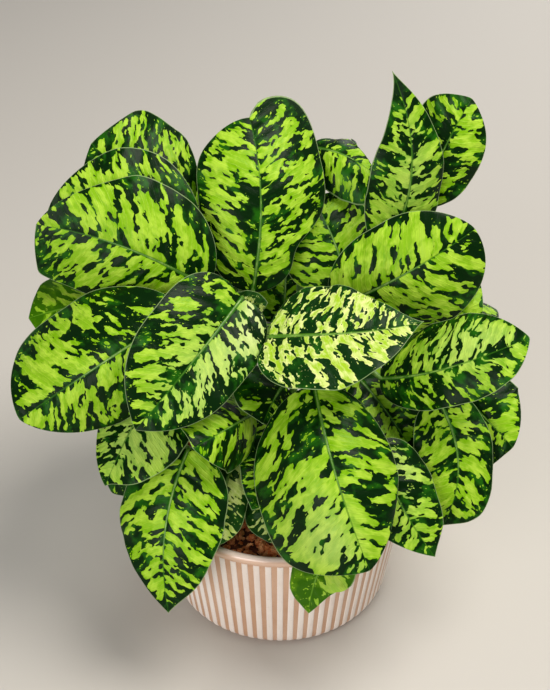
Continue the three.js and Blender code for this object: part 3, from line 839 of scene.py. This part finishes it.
def potProfile():
    shape = potDesign
    rounded, inside = shape["footRound"], shape["footRound"] - shape["wall"]
    middle = (shape["footRadius"] - rounded, rounded)
    return [
        (0, 0),
        *((radius, 0) for radius in shape["floorRings"]),
        *arc(middle, rounded, -90, 0, shape["footSteps"]),
        *wallPoints(shape["wallSteps"])[1:-1],
        *lipPoints(),
        (shape["footRadius"] - shape["wall"], shape["floor"] + inside),
        *arc((middle[0], shape["floor"] + inside), inside, 0, -90, shape["floorSteps"])[1:],
        (shape["floorRings"][0], shape["floor"]),
        (0, shape["floor"]),
    ]


def turned(name, profile, sides, materials):
    # turns a profile of (radius, height) pairs that starts and ends on the axis about +Z
    vertices, rings = [], []
    for radius, height in profile:
        count = sides if radius > 0 else 1
        rings.append(range(len(vertices), len(vertices) + count))
        for turn in np.linspace(0, wholeTurn, count, endpoint=False):
            vertices.append((radius * math.cos(turn) * mm, radius * math.sin(turn) * mm, height * mm))
    faces = []
    for lower, upper in zip(rings, rings[1:]):
        for place in range(sides):
            following = (place + 1) % sides
            corners = [lower[place % len(lower)], lower[following % len(lower)],
                       upper[following % len(upper)], upper[place % len(upper)]]
            faces.append(tuple(dict.fromkeys(corners)))
    return meshPiece(name, vertices, faces, materials)


def claySurface(graph):
    place = graph.spot()
    height = graph.wire(graph.node("ShaderNodeSeparateXYZ", sockets={0: place}), 2)
    cloud = graph.noise(place, scale=22.0, detail=4.0, roughness=0.6)
    grain = graph.noise(place, scale=900.0, detail=2.0, roughness=0.6)
    colour = graph.between(graph.ease(cloud, 0.3, 0.7), potDesign["clay"])
    colour = graph.mix(graph.ease(grain, 0.55, 0.75) * 0.35, colour, paint(potDesign["clayGrain"]))
    lip = graph.ease(height, *(level * mm for level in potDesign["glazeEdge"]))
    # a painted highlight: a pale band along the crest of the lip
    top = graph.ease(height, *(level * mm for level in potDesign["lipHighlightEdges"]))
    colour = graph.mix(lip, colour, paint(potDesign["glaze"]))
    colour = graph.mix(top * 0.6, colour, paint(potDesign["lipHighlight"]))
    return {
        "Base Color": colour,
        "Roughness": 0.5 - lip * 0.3,
        "Coat Weight": lip * 0.8,
        "Coat Roughness": 0.12,
        "Normal": graph.bump(cloud + grain * 0.25, 0.25, 0.0005),
    }


def slipSurface(graph):
    place = graph.spot()
    cloud = graph.noise(place, scale=30.0, detail=4.0, roughness=0.6)
    grain = graph.noise(place, scale=700.0, detail=2.0, roughness=0.5)
    colour = graph.between(graph.ease(cloud, 0.35, 0.7), potDesign["slip"])
    colour = graph.mix(graph.ease(grain, 0.6, 0.8) * 0.3, colour, paint(potDesign["slipGrain"]))
    return {"Base Color": colour, "Roughness": 0.5, "Normal": graph.bump(grain, 0.3, 0.0003)}


clayMaterial = material("pot_tan_clay", claySurface)
slipMaterial = material("pot_pale_slip", slipSurface)
pot = turned("pot_body", potProfile(), potDesign["sides"], [clayMaterial])
dress(pot, "pot", "pot")


def nodeTree(name, inputs):
    # a geometry tree with named inputs, described as name: (socket type, value), and their wires
    tree = bpy.data.node_groups.new(name, "GeometryNodeTree")
    tree.is_modifier = True
    sockets = []
    for label, (kind, value) in inputs.items():
        socket = tree.interface.new_socket(name=label, in_out="INPUT", socket_type=kind)
        sockets.append((socket, value))
    tree.interface.new_socket(name="Geometry", in_out="OUTPUT", socket_type="NodeSocketGeometry")
    graph = Graph(tree)
    entry = graph.node("NodeGroupInput")
    return graph, sockets, {label: graph.wire(entry, label) for label in inputs}


def endTree(graph, copies, surface):
    # makes the copies real, gives them their material and hands them out
    real = graph.node("GeometryNodeRealizeInstances", sockets={"Geometry": copies})
    painted = graph.node("GeometryNodeSetMaterial", sockets={"Geometry": real, "Material": surface})
    graph.node("NodeGroupOutput", sockets={"Geometry": painted})


def grownMesh(name, graph, sockets, materials):
    # runs the tree on an empty mesh and keeps the result as a plain one
    holder = linked(name + "_holder", bpy.data.meshes.new(name + "_holder"))
    modifier = holder.modifiers.new(name, "NODES")
    modifier.node_group = graph.tree
    for socket, value in sockets:
        modifier[socket.identifier] = value
    bpy.context.view_layer.update()
    evaluated = holder.evaluated_get(bpy.context.evaluated_depsgraph_get())
    mesh = bpy.data.meshes.new_from_object(evaluated)
    mesh.name = name
    holder.modifiers.clear()
    bpy.data.objects.remove(holder)
    mesh.materials.clear()
    for each in materials:
        mesh.materials.append(each)
    return linked(name, mesh)


def stripePiece():
    # one raised stripe that follows the wall, copied round the pot by Geometry Nodes
    shape = potDesign
    low, high = wallPoints(1)
    slope = (high[0] - low[0]) / (high[1] - low[1])
    bottom = (low[0] + (shape["stripeBottom"] - low[1]) * slope, shape["stripeBottom"])
    top = (low[0] + (shape["stripeTop"] - low[1]) * slope, shape["stripeTop"])
    graph, sockets, given = nodeTree("pot_stripes", {
        "Stripes": ("NodeSocketInt", shape["stripes"]),
        "Width": ("NodeSocketFloat", shape["stripeWidth"] * mm),
        "Rise": ("NodeSocketFloat", shape["stripeRise"] * mm),
        "Bottom": ("NodeSocketVector", (bottom[0] * mm, 0.0, bottom[1] * mm)),
        "Top": ("NodeSocketVector", (top[0] * mm, 0.0, top[1] * mm)),
        "Round": ("NodeSocketFloat", shape["footRound"] * mm),
        "Steps": ("NodeSocketInt", shape["stripeSteps"]),
        "Sides": ("NodeSocketInt", shape["stripeSides"]),
        "Slip": ("NodeSocketMaterial", slipMaterial),
    })
    line = graph.node("GeometryNodeCurvePrimitiveLine", sockets={
        "Start": given["Bottom"], "End": given["Top"]})
    fine = graph.node("GeometryNodeResampleCurve", sockets={"Curve": line, "Count": given["Steps"]})
    spot = graph.wire(graph.node("GeometryNodeInputPosition"))
    height = graph.wire(graph.node("ShaderNodeSeparateXYZ", sockets={0: spot}), 2)
    rounded = given["Round"]
    below = (rounded - height).atLeast(0.0)
    inset = rounded - (rounded * rounded - below * below).root()
    bent = graph.node("GeometryNodeSetPosition", sockets={
        "Geometry": fine, "Offset": graph.vector(below * slope - inset, 0.0, 0.0)})
    ring = graph.node("GeometryNodeCurvePrimitiveCircle", sockets={
        "Resolution": given["Sides"], "Radius": 0.5})
    flatten = graph.node("GeometryNodeTransform", sockets={
        "Geometry": ring,
        "Scale": graph.vector(given["Width"], given["Rise"] * 2, 1.0)})
    place = graph.wire(graph.node("GeometryNodeSplineParameter"), "Factor")
    footEnd, topEnd = shape["stripeEnds"]
    taper = graph.ease(place, 0.0, footEnd) * graph.ease(1 - place, 0.0, topEnd)
    sized = graph.node("GeometryNodeSetCurveRadius", sockets={
        "Curve": bent, "Radius": taper * 0.5 + 0.5 - (1 - place) * shape["stripeNarrowing"]})
    strip = graph.node("GeometryNodeCurveToMesh", sockets={
        "Curve": sized, "Profile Curve": flatten, "Fill Caps": True})
    soft = graph.node("GeometryNodeSetShadeSmooth", sockets={"Geometry": strip})
    spots = graph.node("GeometryNodePoints", sockets={"Count": given["Stripes"]})
    number = graph.wire(graph.node("GeometryNodeInputIndex"))
    turn = graph.vector(0.0, 0.0, number / given["Stripes"] * wholeTurn)
    copies = graph.node("GeometryNodeInstanceOnPoints", sockets={
        "Points": spots, "Instance": soft, "Rotation": turn})
    endTree(graph, copies, given["Slip"])
    return grownMesh("pot_stripes", graph, sockets, [slipMaterial])


dress(stripePiece(), "pot")
print("pot:", potDesign["stripes"], "stripes")


# the soil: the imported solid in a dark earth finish, under loose chips of bark and husk

soilDesign = {
    "level": 86.0,
    "radius": 80.0,
    "roundSides": 64,
    "chipKinds": 5,
    "chipSize": 4.6,             # half the length of a usual chip
    "chipSteps": 5,
    "chipSides": 6,
    "bends": ((0.1, 0.7), (0.4, 2.4)),       # of straight and of curled kinds, in radians
    "thick": (0.62, 0.3),        # of straight and of curled kinds, as shares of the size
    "lumps": (0.75, 1.25),       # how unevenly thick a chip is, from and to
    "flatness": (0.7, 1.5),
    "ragged": (0.12, 0.1),       # how far its middle line and its skin stray
    "spacing": 5.2,
    "sizeRange": (0.55, 1.15),
    "tumble": 6.283,             # how far a chip is turned about each axis at most
    "layers": ((0.2, 0.75), (1.6, 1.0)),     # each layer's rise, and its chips' share of the size
    "density": 90000.0,
    "seed": 11,
    "earth": ("#3C1C10", "#84442A"),
    "bark": ("#DC7038", "#FFB87C"),
    "darkFibre": "#6A3214",
    # pale fibres, which also serve as painted highlights on the chips
    "paleFibreHighlight": "#E8A478",
}


def earthSurface(graph):
    place = graph.spot()
    crumbs = graph.noise(place, scale=260.0, detail=5.0, roughness=0.7)
    colour = graph.between(graph.ease(crumbs, 0.35, 0.7), soilDesign["earth"])
    return {"Base Color": colour, "Roughness": 0.95, "Normal": graph.bump(crumbs, 0.8, 0.002)}


def chipSurface(graph):
    place = graph.spot()
    patches = graph.noise(place, scale=190.0, detail=3.0, roughness=0.6)
    fibres = graph.noise(place, scale=1500.0, detail=3.0, roughness=0.65, distortion=1.5)
    colour = graph.between(graph.ease(patches, 0.35, 0.65), soilDesign["bark"])
    colour = graph.mix(graph.ease(fibres, 0.42, 0.6) * 0.5, colour, paint(soilDesign["darkFibre"]))
    # pale fibre flecks, which also stand in as painted highlights
    colour = graph.mix(graph.ease(fibres, 0.6, 0.72) * 0.5, colour, paint(soilDesign["paleFibreHighlight"]))
    return {
        "Base Color": colour,
        "Roughness": 0.85,
        "Specular IOR Level": 0.2,
        "Normal": graph.bump(fibres, 0.7, 0.0008),
    }


earthMaterial = material("soil_earth", earthSurface)
chipMaterial = material("soil_chips", chipSurface)
soilSolid = frame["nodes"]["soil"]
soilSolid.data.materials.clear()
soilSolid.data.materials.append(earthMaterial)


def chipForm(kind, random):
    # a bent and ragged flake, thickest in the middle
    shape = soilDesign
    curled = kind % 2
    lineStray, skinStray = shape["ragged"]
    bend = random.uniform(*shape["bends"][curled])
    shares = np.linspace(-1, 1, shape["chipSteps"])
    angles = shares * bend
    radius = 1 / max(bend, 0.3)
    line = np.stack([radius * np.sin(angles), radius * (1 - np.cos(angles)), 0 * shares], -1)
    line += random.uniform(-lineStray, lineStray, line.shape)
    thick = shape["thick"][curled] * (1 - 0.55 * shares ** 2)
    thick *= random.uniform(*shape["lumps"], len(shares))
    vertices, faces = tube(line, thick, shape["chipSides"], flatten=random.uniform(*shape["flatness"]))
    vertices = vertices + random.uniform(-skinStray, skinStray, vertices.shape)
    return vertices * shape["chipSize"] * mm, faces


def chipCollection():
    random = np.random.default_rng(soilDesign["seed"])
    collection = bpy.data.collections.new("chip_kinds")
    for kind in range(soilDesign["chipKinds"]):
        vertices, faces = chipForm(kind, random)
        chip = meshPiece(f"chip_kind_{kind}", vertices, faces, [chipMaterial], smooth=False)
        bpy.context.scene.collection.objects.unlink(chip)
        collection.objects.link(chip)
    return collection


def chipPiece():
    # chips of a few kinds, strewn over the soil in layers by Geometry Nodes
    shape = soilDesign
    collection = chipCollection()
    graph, sockets, given = nodeTree("soil_chips", {
        "Radius": ("NodeSocketFloat", shape["radius"] * mm),
        "Level": ("NodeSocketFloat", shape["level"] * mm),
        "Spacing": ("NodeSocketFloat", shape["spacing"] * mm),
        "Kinds": ("NodeSocketCollection", collection),
        "Seed": ("NodeSocketInt", shape["seed"]),
        "Bark": ("NodeSocketMaterial", chipMaterial),
    })
    disc = graph.node("GeometryNodeMeshCircle", {"fill_type": "NGON"}, {
        "Vertices": shape["roundSides"], "Radius": given["Radius"]})
    joined = graph.node("GeometryNodeJoinGeometry")
    for layer, (rise, small) in enumerate(shape["layers"]):
        lifted = graph.node("GeometryNodeTransform", sockets={
            "Geometry": disc,
            "Translation": graph.vector(0.0, 0.0, given["Level"] + rise * mm)})
        seed = given["Seed"] + layer * 5
        spots = graph.node("GeometryNodeDistributePointsOnFaces", {"distribute_method": "POISSON"}, {
            "Mesh": lifted, "Distance Min": given["Spacing"] * small,
            "Density Max": shape["density"], "Seed": seed})
        kinds = graph.node("GeometryNodeCollectionInfo", sockets={
            "Collection": given["Kinds"], "Separate Children": True, "Reset Children": True})
        turn = graph.node("FunctionNodeRandomValue", {"data_type": "FLOAT_VECTOR"}, {
            0: (0.0, 0.0, 0.0), 1: (shape["tumble"],) * 3, "Seed": seed})
        least, most = (size * small for size in shape["sizeRange"])
        size = graph.node("FunctionNodeRandomValue", sockets={2: least, 3: most, "Seed": seed})
        pick = graph.node("FunctionNodeRandomValue", {"data_type": "INT"}, {
            4: 0, 5: shape["chipKinds"] - 1, "Seed": seed})
        copies = graph.node("GeometryNodeInstanceOnPoints", sockets={
            "Points": spots, "Instance": kinds, "Pick Instance": True,
            "Instance Index": graph.wire(pick, 2), "Rotation": graph.wire(turn, 0),
            "Scale": graph.wire(size, 1)})
        graph.tree.links.new(copies.outputs[0], joined.inputs[0])
    endTree(graph, joined, given["Bark"])
    piece = grownMesh("soil_chips", graph, sockets, [chipMaterial])
    for kind in list(collection.objects):
        bpy.data.objects.remove(kind)
    bpy.data.collections.remove(collection)
    return piece


chips = dress(chipPiece(), "soil")
print("soil:", len(chips.data.polygons), "chip faces")


# the studio: a pale floor, soft lights and the photograph's camera

studio = {
    "floorSize": 8.0,
    "floor": ("#CFCBC4", "#CFC9C0"),
    "aimHeight": 0.18,
    "world": "#FFFFFF",
    "worldStrength": 0.2,
    "cameraPlace": (-0.0034, -0.629, 0.659),
    "cameraTilt": 54.0,
    "lens": 62.6,
    "sensor": 36.0,
}

softLights = {
    "key": dict(place=(0.6, -0.1, 1.6), size=1.0, watts=23.0, colour="#FFF9F1"),
    "fill": dict(place=(-0.8, -1.45, 0.75), size=1.2, watts=16.5, colour="#FCFAF8"),
    "back": dict(place=(0.7, 1.5, 0.9), size=1.2, watts=9.0, colour="#FCFAF8"),
}


def buildStudio():
    half = studio["floorSize"] / 2
    corners = [(-half, -half, 0), (half, -half, 0), (half, half, 0), (-half, half, 0)]

    def floorSurface(graph):
        cloud = graph.noise(graph.spot(), scale=3.0, detail=3.0)
        return {"Base Color": graph.between(cloud * 0.15, studio["floor"]), "Roughness": 0.8}

    floorMaterial = material("floor_pale", floorSurface)
    floor = meshPiece("floor", corners, [(0, 1, 2, 3)], [floorMaterial], smooth=False)
    world = bpy.data.worlds.new("studio")
    bpy.context.scene.world = world
    world.use_nodes = True
    background = world.node_tree.nodes["Background"]
    background.inputs["Color"].default_value = paint(studio["world"])
    background.inputs["Strength"].default_value = studio["worldStrength"]
    for name, setting in softLights.items():
        light = bpy.data.lights.new(name, "AREA")
        light.shape = "DISK"
        light.size = setting["size"]
        light.energy = setting["watts"]
        light.color = paint(setting["colour"])[:3]
        lamp = linked(name, light)
        lamp.location = setting["place"]
        aim = np.array((0, 0, studio["aimHeight"])) - np.array(setting["place"])
        lamp.rotation_euler = (math.atan2(math.hypot(aim[0], aim[1]), -aim[2]), 0,
                               math.atan2(aim[1], aim[0]) - math.pi / 2)
    camera = bpy.data.cameras.new("camera")
    camera.sensor_fit = "VERTICAL"
    camera.sensor_height = studio["sensor"]
    camera.lens = studio["lens"]
    camera.clip_start = 0.01
    viewer = linked("camera", camera)
    viewer.location = studio["cameraPlace"]
    viewer.rotation_euler = (math.radians(studio["cameraTilt"]), 0, 0)
    bpy.context.scene.camera = viewer
    bpy.context.scene.view_settings.view_transform = "Standard"


buildStudio()
print("studio: camera, floor and", len(softLights), "lights")

bpy.context.view_layer.update()
